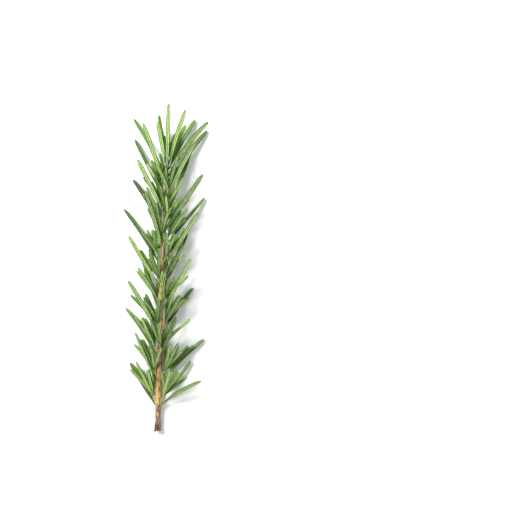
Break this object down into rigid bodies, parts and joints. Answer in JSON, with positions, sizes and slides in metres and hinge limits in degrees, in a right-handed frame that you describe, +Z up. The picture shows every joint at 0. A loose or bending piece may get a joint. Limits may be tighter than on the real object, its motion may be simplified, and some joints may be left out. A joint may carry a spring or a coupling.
{
  "type": "rosemary sprig",
  "caption": "Cut sprig of rosemary lying down: a woody stem with pairs of long needle leaves, leafy side shoots in their axils and a growing tip.",
  "frame": {"origin": "middle of the sprig's footprint, on the surface it lies on", "axes": "+Y along the stem from the cut end to the growing tip, +Z up from the surface it lies on, +X to the right seen from above"},
  "size_m": [0.0593, 0.2166, 0.0329],
  "materials": {
    "stem_bark": "fissured bark",
    "long_leaf": "waxy leaf, felted underneath",
    "shoot_leaf": "waxy leaf, felted underneath",
    "young_leaf": "soft young leaf"
  },
  "bodies": {
    "root": {"main_stem": "stem_bark", "leaf_01_right": "long_leaf", "leaf_01_left": "long_leaf", "side_shoot_01_right": "shoot_leaf", "side_shoot_01_left": "shoot_leaf", "leaf_02_right": "long_leaf", "leaf_02_left": "long_leaf", "side_shoot_02_right": "shoot_leaf", "side_shoot_02_left": "shoot_leaf", "leaf_03_right": "long_leaf", "leaf_03_left": "long_leaf", "side_shoot_03_right": "shoot_leaf", "side_shoot_03_left": "shoot_leaf", "leaf_04_right": "long_leaf", "leaf_04_left": "long_leaf", "side_shoot_04_right": "shoot_leaf", "side_shoot_04_left": "shoot_leaf", "leaf_05_right": "long_leaf", "leaf_05_left": "long_leaf", "side_shoot_05_right": "shoot_leaf", "side_shoot_05_left": "shoot_leaf", "leaf_06_right": "long_leaf", "leaf_06_left": "long_leaf", "side_shoot_06_right": "shoot_leaf", "side_shoot_06_left": "shoot_leaf", "leaf_07_right": "long_leaf", "leaf_07_left": "long_leaf", "side_shoot_07_right": "shoot_leaf", "side_shoot_07_left": "shoot_leaf", "leaf_08_right": "long_leaf", "leaf_08_left": "long_leaf", "side_shoot_08_right": "shoot_leaf", "side_shoot_08_left": "shoot_leaf", "leaf_09_right": "long_leaf", "leaf_09_left": "long_leaf", "side_shoot_09_right": "shoot_leaf", "side_shoot_09_left": "shoot_leaf", "leaf_10_right": "long_leaf", "leaf_10_left": "long_leaf", "side_shoot_10_right": "shoot_leaf", "side_shoot_10_left": "shoot_leaf", "leaf_11_right": "long_leaf", "leaf_11_left": "long_leaf", "side_shoot_11_right": "shoot_leaf", "side_shoot_11_left": "shoot_leaf", "leaf_12_right": "long_leaf", "leaf_12_left": "long_leaf", "side_shoot_12_right": "shoot_leaf", "side_shoot_12_left": "shoot_leaf", "leaf_13_right": "long_leaf", "leaf_13_left": "long_leaf", "leaf_14_right": "long_leaf", "leaf_14_left": "long_leaf", "leaf_15_right": "long_leaf", "leaf_15_left": "long_leaf", "leaf_16_right": "long_leaf", "leaf_16_left": "long_leaf", "tip_shoot": "young_leaf"}
  },
  "joints": []
}
